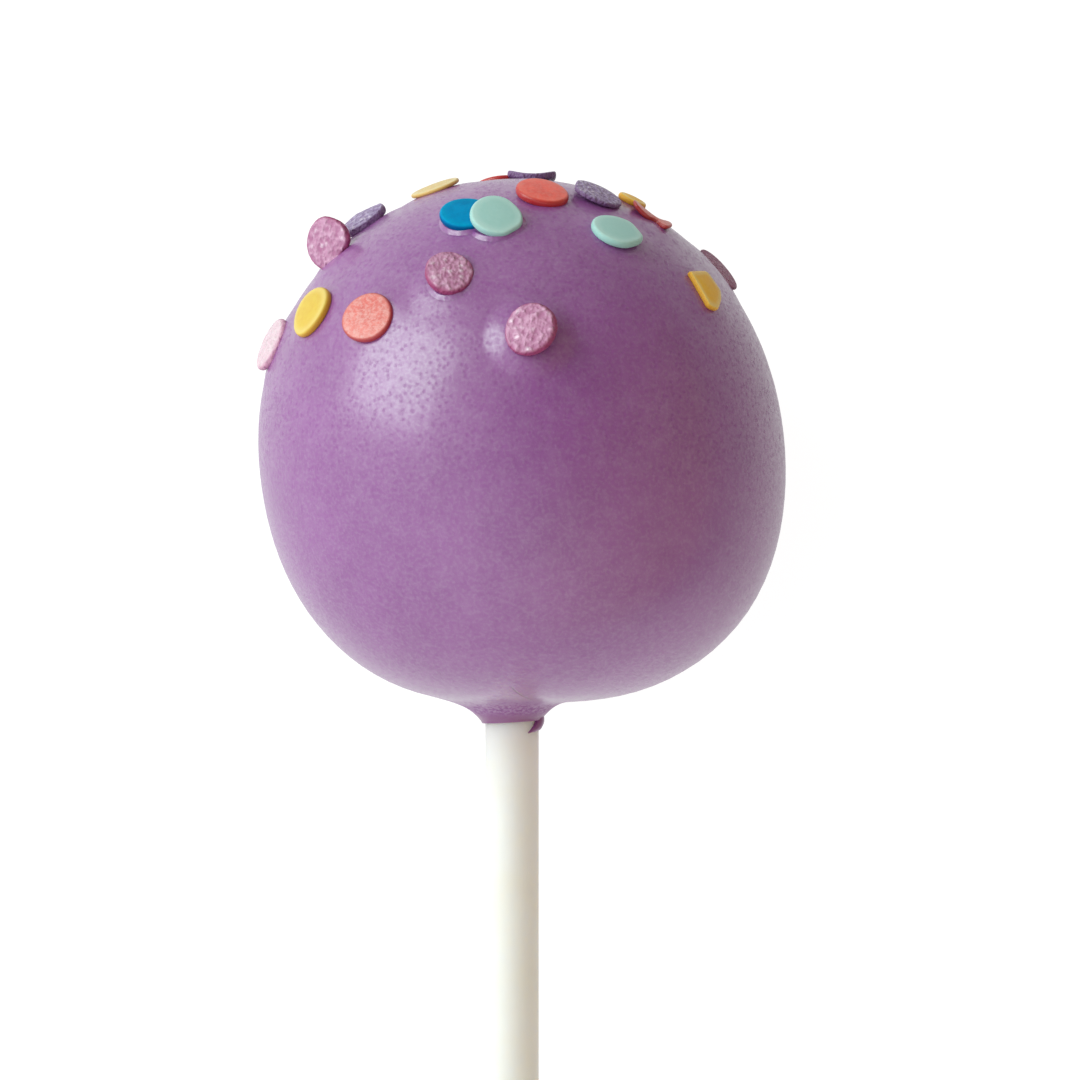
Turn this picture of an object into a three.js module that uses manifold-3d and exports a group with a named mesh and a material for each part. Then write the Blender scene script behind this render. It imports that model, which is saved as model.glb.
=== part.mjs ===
// A cake pop: a hand-rolled ball of cake in a coloured coating, sprinkled with round sugar
// confetti and carried on a paper stick. It lies as a cake pop lies when it is put down, on the
// back of its ball and the end of its stick.
//
// Lengths are in millimetres. The pop is drawn in its own frame first: the stick's axis is Y,
// with the ball's crown up it, the side that faces the viewer is +Z and the right is +X.
// Latitude and longitude are degrees on the ball: latitude 90 is the crown, and longitude 0
// faces the viewer, 90 is the right, 180 the back and -90 the left.
import * as THREE from "three";
import { mergeVertices } from "three/addons/utils/BufferGeometryUtils.js";
import Module from "manifold-3d";

const STICK = { length: 150, radius: 2, topLevel: -2, chamfer: 0.15, sides: 32 };
const BORE_GAP = 0.3; // between the stick and the cake round it

// The ball is widest low down, where the cake has slumped into a shoulder above a flatter base.
const BALL = {
  radius: 18.92, // without the shoulder and the flank
  offAxis: 0.74, // the stick is a little left of the middle
  leanRight: -0.157,
  leanUp: 0.43,
  shoulder: { height: 2.195, latitude: -50, reach: 38.8, moreAtRight: 0.546, higherAtRight: 3.6 },
  flank: { height: 0.303, latitude: 16, longitude: -90, reach: 29.8 },
  mesh: 15, // divisions of an icosahedron's edge, less one
};

// The coating runs down on to the stick as a small flared collar.
const COLLAR = {
  lipRadius: 2.6,
  lipLevel: -21.05,
  height: 3.2,
  flare: 0.5,
  curve: 1.9,
  sides: 28,
  steps: 6,
};

// Lying down, the flat spot on the ball's back stands this far under the stick's axis.
const REST = { depth: 19.15, block: 60 };

const CONFETTI = {
  diameter: 4,
  thickness: 0.6,
  bevel: 0.14,
  thinBevel: 1 / 3, // the bevel's largest share of the thickness
  innerRing: 0.55, // share of the radius
  lift: 0.1, // the middle of a piece above the coating
  sides: 12,
  brokenSides: 18,
  pinchReach: 0.3, // share of the radius
  mound: 0.24, // the coating stands up by this round each piece
  moundTop: 1.5,
  moundFoot: 3.6,
};

// The pieces on the side that faces the viewer and on the outline. "at" is the place on the
// ball, "faces" is where the flat side looks, as latitude and longitude. "curl" lifts two
// opposite rims, "twist" turns one of them against the other, in degrees, and "pinch" draws the
// sides in round a "waist", which is a share of the radius to the right of the middle. Each of
// the "cuts" breaks the disc off along a straight line: a bearing in its own plane, 0 to its
// right and 90 towards its near side, and the share of its radius left there.
const SEEN_CONFETTI = [
  { at: [55.9, -21.4], faces: [54.4, -3], size: 0.98 },
  { at: [53.4, -8.9], faces: [38.5, 10], lift: 0.5, size: 0.955, cuts: [[315, 0.95], [45, 0.95]] },
  { at: [66.2, 10.8], faces: [61, 20], size: 0.98 },
  {
    at: [81, 167],
    faces: [83, 170],
    lift: 0.02,
    size: 0.98,
    thickness: 0.5,
    curl: 0.5,
    cuts: [[0, 0.94], [180, 0.92]],
  },
  { at: [76.8, -157], faces: [75, -150], lift: 0.05, size: 0.85, thickness: 0.5 },
  { at: [70.9, -83], faces: [68, -66], size: 0.94, thickness: 0.35 },
  { at: [54.2, -86.5], faces: [52.8, -62.5], lift: 0.38, size: 0.92, cuts: [[-60, 0.8]] },
  {
    at: [44.7, -76],
    faces: [0, -41],
    lift: 0.74,
    size: 1.04,
    cuts: [[80, 0.8], [329, 0.93]],
    mound: 0.4,
  },
  { at: [28.1, -61.9], faces: [27, -59], curl: -0.1 },
  { at: [26.3, -39.3], faces: [26, -27] },
  { at: [20.8, -84], faces: [23, -72], lift: 0.05, size: 1.02 },
  { at: [37.1, -19.5], faces: [35, 4], lift: 0.2, size: 0.9, thickness: 0.75 },
  { at: [22.4, 2.1], faces: [17, -21], lift: 0.6, size: 0.98, thickness: 0.9, mound: 0.5 },
  { at: [66.2, 43.7], faces: [61, 54], lift: 0.15, thickness: 0.35, cuts: [[180, 0.85]] },
  { at: [64.1, 72], faces: [62, 68], size: 0.54, thickness: 0.5 },
  {
    at: [57.2, 64],
    faces: [54, 70],
    lift: -0.03,
    size: 0.85,
    thickness: 0.35,
    curl: 0.3,
    twist: 4,
    pinch: 0.65,
    waist: 0.25,
    cuts: [[90, 0.55], [270, 0.55]],
  },
  { at: [50.3, 33.8], faces: [54.5, 31], size: 0.97, cuts: [[-35, 0.92], [38, 0.94]] },
  {
    at: [34.4, 57.2],
    faces: [33, 56],
    lift: 0.02,
    size: 0.96,
    thickness: 0.45,
    cuts: [[211, 0.79], [291.5, 0.86], [338.6, 0.8], [357.6, 0.79], [122.8, 0.56]],
  },
  { at: [41, 90], faces: [40, 71], lift: -0.08, size: 0.96, thickness: 0.3 },
];

// The pieces on the back are spread evenly over the same cap by an additive sequence.
const BACK_CONFETTI = {
  count: 13,
  longitudes: [128, 238],
  latitudes: [27, 64],
  steps: [0.7548776662, 0.569840291], // shares of the longitudes and of the cap's height
  leanSteps: [0.6180339887, 0.3819660113],
  lean: 13, // degrees, at most
};

const radians = THREE.MathUtils.degToRad;

/** The point of the unit sphere at a latitude and a longitude in degrees. */
function direction([latitude, longitude]) {
  const reach = Math.cos(radians(latitude));
  return new THREE.Vector3(
    reach * Math.sin(radians(longitude)),
    Math.sin(radians(latitude)),
    reach * Math.cos(radians(longitude)),
  );
}

/** A smooth rise that is 1 in the middle and has faded to 1/e at the reach. */
function lobe(distance, reach) {
  return Math.exp(-((distance / reach) ** 2));
}

/** The share left from 0 to 1: 1 up to start, 0 past end, and smooth between. */
function fade(value, start, end) {
  return 1 - THREE.MathUtils.smoothstep(value, start, end);
}

/** The ball's radius in a direction, before the confetti's mounds. */
function cakeRadius(towards) {
  const { shoulder, flank } = BALL;
  const latitude = THREE.MathUtils.radToDeg(Math.asin(THREE.MathUtils.clamp(towards.y, -1, 1)));
  const shoulderLatitude = shoulder.latitude + shoulder.higherAtRight * towards.x;
  const shoulderHeight = shoulder.height + shoulder.moreAtRight * towards.x;
  const fromFlank = THREE.MathUtils.radToDeg(
    towards.angleTo(direction([flank.latitude, flank.longitude])),
  );
  return (
    BALL.radius +
    BALL.leanRight * towards.x +
    BALL.leanUp * towards.y +
    shoulderHeight * lobe(latitude - shoulderLatitude, shoulder.reach) +
    flank.height * lobe(fromFlank, flank.reach)
  );
}

/** The confetti on the back, as the pieces in SEEN_CONFETTI are given. */
function backConfetti() {
  const { count, longitudes, latitudes, steps, leanSteps, lean } = BACK_CONFETTI;
  const share = (n, step) => (0.5 + n * step) % 1;
  const low = Math.sin(radians(latitudes[0]));
  const high = Math.sin(radians(latitudes[1]));
  return Array.from({ length: count }, (_, n) => {
    const height = THREE.MathUtils.lerp(low, high, share(n, steps[1]));
    const latitude = THREE.MathUtils.radToDeg(Math.asin(height));
    const longitude = THREE.MathUtils.lerp(...longitudes, share(n, steps[0]));
    const leans = leanSteps.map((step) => lean * (2 * share(n, step) - 1));
    return { at: [latitude, longitude], faces: [latitude + leans[0], longitude + leans[1]] };
  });
}

const confetti = [...SEEN_CONFETTI, ...backConfetti()];
const ballCentre = new THREE.Vector3(BALL.offAxis, 0, 0);

/** The coating's radius in a direction, with the mounds on which the confetti sits. */
function coatRadius(towards) {
  const radius = cakeRadius(towards);
  const mounds = confetti.map(({ at, mound = CONFETTI.mound }) => {
    const away = radius * towards.angleTo(direction(at));
    return mound * fade(away, CONFETTI.moundTop, CONFETTI.moundFoot);
  });
  return radius + Math.max(...mounds);
}

/** A closed geometry as a solid of the manifold library. */
function solidOf(library, geometry) {
  const bare = geometry.index ? geometry.toNonIndexed() : geometry.clone();
  bare.deleteAttribute("normal");
  bare.deleteAttribute("uv");
  const merged = mergeVertices(bare, 1e-4);
  const corners = merged.index.array;
  const triangles = [];
  for (let i = 0; i < corners.length; i += 3) {
    const [a, b, c] = corners.subarray(i, i + 3);
    if (a !== b && b !== c && c !== a) triangles.push(a, b, c);
  }
  return new library.Manifold(
    new library.Mesh({
      numProp: 3,
      vertProperties: merged.attributes.position.array,
      triVerts: new Uint32Array(triangles),
    }),
  );
}

/** A solid of the manifold library as a geometry with flat faces. */
function geometryOf(solid) {
  const mesh = solid.getMesh();
  const geometry = new THREE.BufferGeometry();
  geometry.setAttribute("position", new THREE.BufferAttribute(mesh.vertProperties, 3));
  geometry.setIndex(new THREE.BufferAttribute(mesh.triVerts, 1));
  const faceted = geometry.toNonIndexed();
  faceted.computeVertexNormals();
  return faceted;
}

/** The coated ball, without its collar and confetti. */
function ballGeometry() {
  const geometry = new THREE.IcosahedronGeometry(1, BALL.mesh);
  const positions = geometry.attributes.position;
  const point = new THREE.Vector3();
  for (let i = 0; i < positions.count; i++) {
    point.fromBufferAttribute(positions, i).normalize();
    point.multiplyScalar(coatRadius(point)).add(ballCentre);
    positions.setXYZ(i, point.x, point.y, point.z);
  }
  return geometry;
}

/** The flared collar round the stick, solid as far as the stick's axis. */
function collarGeometry() {
  const { lipRadius, lipLevel, height, flare, curve, sides, steps } = COLLAR;
  const profile = [new THREE.Vector2(0, lipLevel)];
  for (let i = 0; i <= steps; i++) {
    const up = (height * i) / steps;
    profile.push(new THREE.Vector2(lipRadius + flare * up ** curve, lipLevel + up));
  }
  profile.push(new THREE.Vector2(0, lipLevel + height));
  return new THREE.LatheGeometry(profile, sides);
}

/** A point of a flat disc, moved as the disc's entry breaks and bends it. */
function brokenAndBent(point, radius, { curl = 0, twist = 0, pinch = 0, waist = 0, cuts = [] }) {
  let { x, y, z } = point;
  const out = Math.hypot(x, z);
  for (const [bearing, share] of cuts) {
    const [right, near] = [Math.cos(radians(bearing)), Math.sin(radians(bearing))];
    const over = Math.max(x * right + z * near - share * out, 0);
    x -= over * right;
    z -= over * near;
  }
  const across = x / radius;
  y += curl * across ** 2;
  z *= 1 - pinch * lobe(across - waist, CONFETTI.pinchReach);
  const turn = radians(twist) * across;
  const [cosine, sine] = [Math.cos(turn), Math.sin(turn)];
  return point.set(x, y * cosine - z * sine, y * sine + z * cosine);
}

/** One piece of confetti: a thin disc with a bevelled rim, bent and broken as its entry says. */
function confettiGeometry(piece) {
  const { at, faces, lift = CONFETTI.lift, size = 1, thickness = CONFETTI.thickness, cuts = [] } = piece;
  const radius = (CONFETTI.diameter * size) / 2;
  const bevel = Math.min(CONFETTI.bevel, thickness * CONFETTI.thinBevel);
  const middle = radius * CONFETTI.innerRing;
  const half = thickness / 2;
  const profile = [
    [0, -half],
    [middle, -half],
    [radius, -half],
    [radius, half - bevel],
    [radius - bevel, half],
    [middle, half],
    [0, half],
  ].map(([x, y]) => new THREE.Vector2(x, y));
  const sides = cuts.length > 0 ? CONFETTI.brokenSides : CONFETTI.sides;
  const geometry = new THREE.LatheGeometry(profile, sides);
  const positions = geometry.attributes.position;
  const point = new THREE.Vector3();
  for (let i = 0; i < positions.count; i++) {
    brokenAndBent(point.fromBufferAttribute(positions, i), radius, piece);
    positions.setXYZ(i, point.x, point.y, point.z);
  }
  const outward = direction(at);
  const place = outward.clone().multiplyScalar(coatRadius(outward) + lift).add(ballCentre);
  const turn = new THREE.Quaternion().setFromUnitVectors(new THREE.Vector3(0, 1, 0), direction(faces));
  geometry.applyQuaternion(turn);
  geometry.translate(place.x, place.y, place.z);
  return geometry;
}

/** The stick, or with a gap the hole that it leaves in the cake. */
function stickGeometry(gap = 0) {
  const { length, topLevel, chamfer, sides } = STICK;
  const radius = STICK.radius + gap;
  const top = topLevel + gap;
  const bottom = topLevel - length;
  const profile = [
    [0, bottom],
    [radius - chamfer, bottom],
    [radius, bottom + chamfer],
    [radius, top - chamfer],
    [radius - chamfer, top],
    [0, top],
  ].map(([x, y]) => new THREE.Vector2(x, y));
  return new THREE.LatheGeometry(profile, sides);
}

/** How far the stick dips from the ball to its end, in radians, when the pop lies on a table. */
function restingDip() {
  const reach = STICK.length - STICK.topLevel - STICK.chamfer;
  const slant = Math.hypot(reach, STICK.radius);
  return Math.asin(REST.depth / slant) - Math.atan2(STICK.radius, reach);
}

/** The table under the lying pop, in the pop's own frame. */
function tableGeometry(dip) {
  const geometry = new THREE.BoxGeometry(REST.block, REST.block, REST.block);
  geometry.translate(0, 0, -REST.depth - REST.block / 2);
  geometry.rotateX(-dip);
  return geometry;
}

/** The coated ball with its collar and confetti, flattened where it rests and bored for the stick. */
function coatedBall(library, dip) {
  const additions = [collarGeometry(), ...confetti.map(confettiGeometry)];
  let solid = solidOf(library, ballGeometry());
  for (const geometry of additions) solid = solid.add(solidOf(library, geometry));
  solid = solid.subtract(solidOf(library, stickGeometry(BORE_GAP)));
  solid = solid.subtract(solidOf(library, tableGeometry(dip)));
  const material = new THREE.MeshStandardMaterial({ color: 0x9a62a2, roughness: 0.42, metalness: 0 });
  const mesh = new THREE.Mesh(geometryOf(solid), material);
  mesh.name = "coated_ball";
  return mesh;
}

/** The rolled paper stick. */
function paperStick() {
  const material = new THREE.MeshStandardMaterial({ color: 0xf1eee4, roughness: 0.7, metalness: 0 });
  const mesh = new THREE.Mesh(stickGeometry(), material);
  mesh.name = "stick";
  return mesh;
}

const library = await Module();
library.setup();

const dip = restingDip();
const pop = new THREE.Group();
pop.add(coatedBall(library, dip), paperStick());
pop.rotation.x = dip;

// The origin is on the table, under the middle of the lying pop.
const bounds = new THREE.Box3().setFromObject(pop, true);
const middle = bounds.getCenter(new THREE.Vector3());
pop.position.set(-middle.x, -middle.y, -bounds.min.z);

const root = new THREE.Group();
root.add(pop);

export default root;
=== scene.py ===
"""A cake pop lying on a pale table: a ball of cake in a satin purple coating, sprinkled with round
sugar confetti, on a rolled paper stick.

Each piece is drawn in the pop's own frame, in millimetres: the stick's axis is Y with the ball's
crown up it, +Z faces the viewer and +X is the right. Latitude and longitude are degrees on the
ball: latitude 90 is the crown, and longitude 0 faces the viewer, 90 is the right, 180 the back
and -90 the left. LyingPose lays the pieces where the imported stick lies.
"""

from __future__ import annotations

import logging
import math
from dataclasses import dataclass
from enum import Enum
from functools import reduce
from typing import Any

import bpy
import numpy as np
from bpy.types import Material, Object
from mathutils import Matrix, Vector, noise


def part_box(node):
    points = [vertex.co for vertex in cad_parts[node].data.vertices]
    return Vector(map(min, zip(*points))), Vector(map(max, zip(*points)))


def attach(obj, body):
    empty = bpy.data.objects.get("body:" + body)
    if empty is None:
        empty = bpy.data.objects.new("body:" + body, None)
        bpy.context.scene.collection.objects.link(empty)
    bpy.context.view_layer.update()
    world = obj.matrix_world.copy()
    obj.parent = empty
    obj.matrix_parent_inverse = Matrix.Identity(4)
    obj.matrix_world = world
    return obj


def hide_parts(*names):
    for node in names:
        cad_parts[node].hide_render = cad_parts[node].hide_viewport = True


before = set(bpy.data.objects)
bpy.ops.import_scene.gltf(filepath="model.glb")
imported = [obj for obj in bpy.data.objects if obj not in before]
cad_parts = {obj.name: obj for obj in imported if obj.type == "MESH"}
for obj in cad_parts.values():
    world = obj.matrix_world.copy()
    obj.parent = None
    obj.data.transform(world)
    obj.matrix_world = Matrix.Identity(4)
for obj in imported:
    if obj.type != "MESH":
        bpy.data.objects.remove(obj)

LOG = logging.getLogger("cake_pop")
MM = 0.001
BODY = "root"
Pair = tuple[float, float]
Triple = tuple[float, float, float]
Colour = tuple[float, float, float]


def linear(red: int, green: int, blue: int) -> Colour:
    """Turn a colour as a screen shows it, 0 to 255, into the light it stands for, 0 to 1."""
    shares = (part / 255 for part in (red, green, blue))
    return tuple(s / 12.92 if s <= 0.04045 else ((s + 0.055) / 1.055) ** 2.4 for s in shares)


def direction(latitude: Any, longitude: Any) -> np.ndarray:
    """Find the unit vectors, along the last axis, of latitudes and longitudes in degrees."""
    up, around = np.radians(latitude), np.radians(longitude)
    return np.stack(
        np.broadcast_arrays(np.cos(up) * np.sin(around), np.sin(up), np.cos(up) * np.cos(around)), axis=-1
    )


def fade(value: np.ndarray, start: float, end: float) -> np.ndarray:
    """Fall smoothly from 1 at the start to 0 at the end."""
    along = np.clip((value - start) / (end - start), 0, 1)
    return 1 - along * along * (3 - 2 * along)


def ripple(points: np.ndarray, wavelength: float, seed: int, waves: int = 14) -> np.ndarray:
    """Make a gentle uneven swell out of a few crossing waves.

    Args:
        points: The points where it is read, along the last axis.
        wavelength: The waves' usual length, in the points' unit.
        seed: Which waves are drawn.
        waves: How many cross.

    Returns:
        The swell at each point, within about -1 and 1.
    """
    draw = np.random.default_rng(seed)
    headings = draw.normal(size=(waves, 3))
    headings /= np.linalg.norm(headings, axis=1, keepdims=True)
    lengths = wavelength * draw.uniform(0.7, 1.5, waves)
    phases = draw.uniform(0, 2 * math.pi, waves)
    angles = points @ (headings * (2 * math.pi / lengths)[:, None]).T + phases
    return np.cos(angles).sum(axis=-1) * 1.4 / waves


def linked(name: str, data: bpy.types.ID) -> Object:
    """Put a mesh, a lamp or a lens into the scene as an object.

    Args:
        name: The new object's name.
        data: What the object shows.

    Returns:
        The object.
    """
    made = bpy.data.objects.new(name, data)
    bpy.context.scene.collection.objects.link(made)
    return made


def woven_surface(name: str, rings: list[np.ndarray], sweeps: np.ndarray | None = None) -> Object:
    """Join rings of points into one smooth mesh, with each end drawn together in a point.

    Args:
        name: The new object's name.
        rings: Rings with the same number of points, in millimetres, going round as a clock does
            when seen from the first ring's side.
        sweeps: A number for each ring, which materials read as "sweep".

    Returns:
        The mesh object, still without a place.
    """
    around = len(rings[0])
    points = np.concatenate([rings[0].mean(0)[None], *rings, rings[-1].mean(0)[None]]) * MM
    corner = np.arange(around)
    following = (corner + 1) % around
    faces: list[list[int]] = [[0, int(b) + 1, int(a) + 1] for a, b in zip(corner, following)]
    for ring in range(len(rings) - 1):
        upper, lower = 1 + ring * around, 1 + (ring + 1) * around
        sides = [upper + corner, upper + following, lower + following, lower + corner]
        faces += np.stack(sides, axis=1).tolist()
    last, end = 1 + (len(rings) - 1) * around, len(points) - 1
    faces += [[end, last + int(a), last + int(b)] for a, b in zip(corner, following)]
    mesh = bpy.data.meshes.new(name)
    mesh.from_pydata(points.tolist(), [], faces)
    mesh.shade_smooth()
    if sweeps is not None:
        marks = np.concatenate([sweeps[:1], np.repeat(sweeps, around), sweeps[-1:]])
        mesh.attributes.new("sweep", "FLOAT", "POINT").data.foreach_set("value", marks.astype(np.float32))
    return linked(name, mesh)


def joined(name: str, parts: list[Object]) -> Object:
    """Join several mesh objects into one.

    Args:
        name: The name that the joined object gets.
        parts: The objects, which are used up.

    Returns:
        The one object.
    """
    with bpy.context.temp_override(active_object=parts[0], selected_editable_objects=parts):
        bpy.ops.object.join()
    parts[0].name = parts[0].data.name = name
    return parts[0]


class Flow:
    """A number, colour or vector that flows through a material, with sums written as maths."""

    def __init__(self, graph: Graph, socket: bpy.types.NodeSocket) -> None:
        """Wrap a node's output socket."""
        self.graph = graph
        self.socket = socket

    def _with(self, operation: str, *terms: Any) -> Flow:
        """Add a Math node for an operation on numbers."""
        return self.graph.node("ShaderNodeMath", {"operation": operation}, *terms)

    def __add__(self, other: Any) -> Flow:
        """Add."""
        return self._with("ADD", self, other)

    def __radd__(self, other: Any) -> Flow:
        """Add to a plain number."""
        return self._with("ADD", other, self)

    def __sub__(self, other: Any) -> Flow:
        """Take away."""
        return self._with("SUBTRACT", self, other)

    def __rsub__(self, other: Any) -> Flow:
        """Take away from a plain number."""
        return self._with("SUBTRACT", other, self)

    def __mul__(self, other: Any) -> Flow:
        """Multiply."""
        return self._with("MULTIPLY", self, other)

    def __rmul__(self, other: Any) -> Flow:
        """Multiply a plain number."""
        return self._with("MULTIPLY", other, self)

    def __pow__(self, other: Any) -> Flow:
        """Raise to a power."""
        return self._with("POWER", self, other)

    def between(self, low: float, high: float) -> Flow:
        """Rise smoothly from 0 at the low value to 1 at the high one."""
        settings = {"interpolation_type": "SMOOTHSTEP"}
        return self.graph.node("ShaderNodeMapRange", settings, self, low, high)


class Graph:
    """A tree of shader nodes, built by calls."""

    def __init__(self, tree: bpy.types.NodeTree) -> None:
        """Take over a node tree."""
        self.tree = tree

    def node(self, kind: str, settings: dict[str, Any], *sockets: Any, out: Any = 0, **named: Any) -> Flow:
        """Add a node.

        Args:
            kind: The node's type.
            settings: The node's own properties.
            *sockets: Values or flows for the first inputs, in order.
            out: The output that is wanted, by number or name.
            **named: Values or flows for inputs by name, with spaces as underscores, or identifier.

        Returns:
            The wanted output.
        """
        made = self.tree.nodes.new(kind)
        for key, value in settings.items():
            setattr(made, key, value)
        for target, value in zip(made.inputs, sockets):
            self.feed(target, value)
        for key, value in named.items():
            targets = (s for s in made.inputs if key in (s.identifier, s.name.replace(" ", "_")))
            self.feed(next(targets), value)
        return Flow(self, made.outputs[out])

    def feed(self, target: bpy.types.NodeSocket, value: Any) -> None:
        """Set an input, or link a flow to it.

        Args:
            target: The input socket.
            value: A flow, a number, or a colour or vector.
        """
        if isinstance(value, Flow):
            self.tree.links.new(value.socket, target)
        elif target.type == "RGBA":
            target.default_value = (*value[:3], 1)
        else:
            target.default_value = value

    def metres(self) -> Flow:
        """Give the place on the piece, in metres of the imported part's frame."""
        return self.node("ShaderNodeTexCoord", {}, out="Object")

    def millimetres(self, pose: LyingPose) -> Flow:
        """Give the place on the piece, in millimetres of the pop's own frame."""
        inputs = {"Location": pose.matrix().translation, "Rotation": (pose.dip, 0, 0), "Scale": (MM, MM, MM)}
        return self.node("ShaderNodeMapping", {"vector_type": "TEXTURE"}, self.metres(), **inputs)

    def vector(self, operation: str, *terms: Any, out: Any = 0) -> Flow:
        """Add a Vector Math node, and give its vector or its Value."""
        return self.node("ShaderNodeVectorMath", {"operation": operation}, *terms, out=out)

    def noise(self, place: Flow, size: float, detail: float = 2.0, roughness: float = 0.5) -> Flow:
        """Give cloudy noise from 0 to 1, with clouds of about the size in millimetres."""
        inputs = {"Scale": 1 / size, "Detail": detail, "Roughness": roughness}
        return self.node("ShaderNodeTexNoise", {}, Vector=place, **inputs)

    def cells(self, place: Flow, size: float, feature: str = "F1", out: str = "Distance") -> Flow:
        """Give a field of cells of about the size in millimetres, as a Distance or a Color."""
        return self.node("ShaderNodeTexVoronoi", {"feature": feature}, out=out, Vector=place, Scale=1 / size)

    def mixed(self, share: Any, first: Any, second: Any, blend: str = "MIX") -> Flow:
        """Mix a share, from 0 to 1, of the second colour into the first."""
        settings = {"data_type": "RGBA", "blend_type": blend}
        return self.node("ShaderNodeMix", settings, out=2, Factor_Float=share, A_Color=first, B_Color=second)

    def layered(self, base: Colour, *layers: tuple[Flow, Colour]) -> Flow:
        """Lay colours over a base in turn, each given after the share of it that shows."""
        return reduce(lambda under, layer: self.mixed(layer[0], under, layer[1]), layers, base)

    def sweep(self) -> Flow:
        """Give the place along a disc's section: 0 to 1 over its face, 1 to 2 down its edge."""
        return self.node("ShaderNodeAttribute", {"attribute_name": "sweep"}, out="Fac")

    def part(self, vector: Flow, axis: str) -> Flow:
        """Take one axis, X, Y or Z, out of a vector."""
        return self.node("ShaderNodeSeparateXYZ", {}, vector, out=axis)

    def bump(self, height: Flow, depth: float, **under: Flow) -> Flow:
        """Turn a height of 0 to 1 into relief of a depth in millimetres, over an earlier Normal."""
        return self.node("ShaderNodeBump", {}, Strength=1.0, Distance=depth * MM, Height=height, **under)


class Surface(Graph):
    """A material's nodes, round one Principled shader."""

    def __init__(self, name: str) -> None:
        """Start a material, with the shader that every new one has.

        Args:
            name: The material's name.
        """
        self.material = bpy.data.materials.new(name)
        self.material.use_nodes = True
        super().__init__(self.material.node_tree)
        self.shader = self.tree.nodes["Principled BSDF"]

    def dress(self, **inputs: Any) -> None:
        """Set the shader's own inputs, named with underscores for spaces."""
        for key, value in inputs.items():
            self.feed(self.shader.inputs[key.replace("_", " ")], value)


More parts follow.
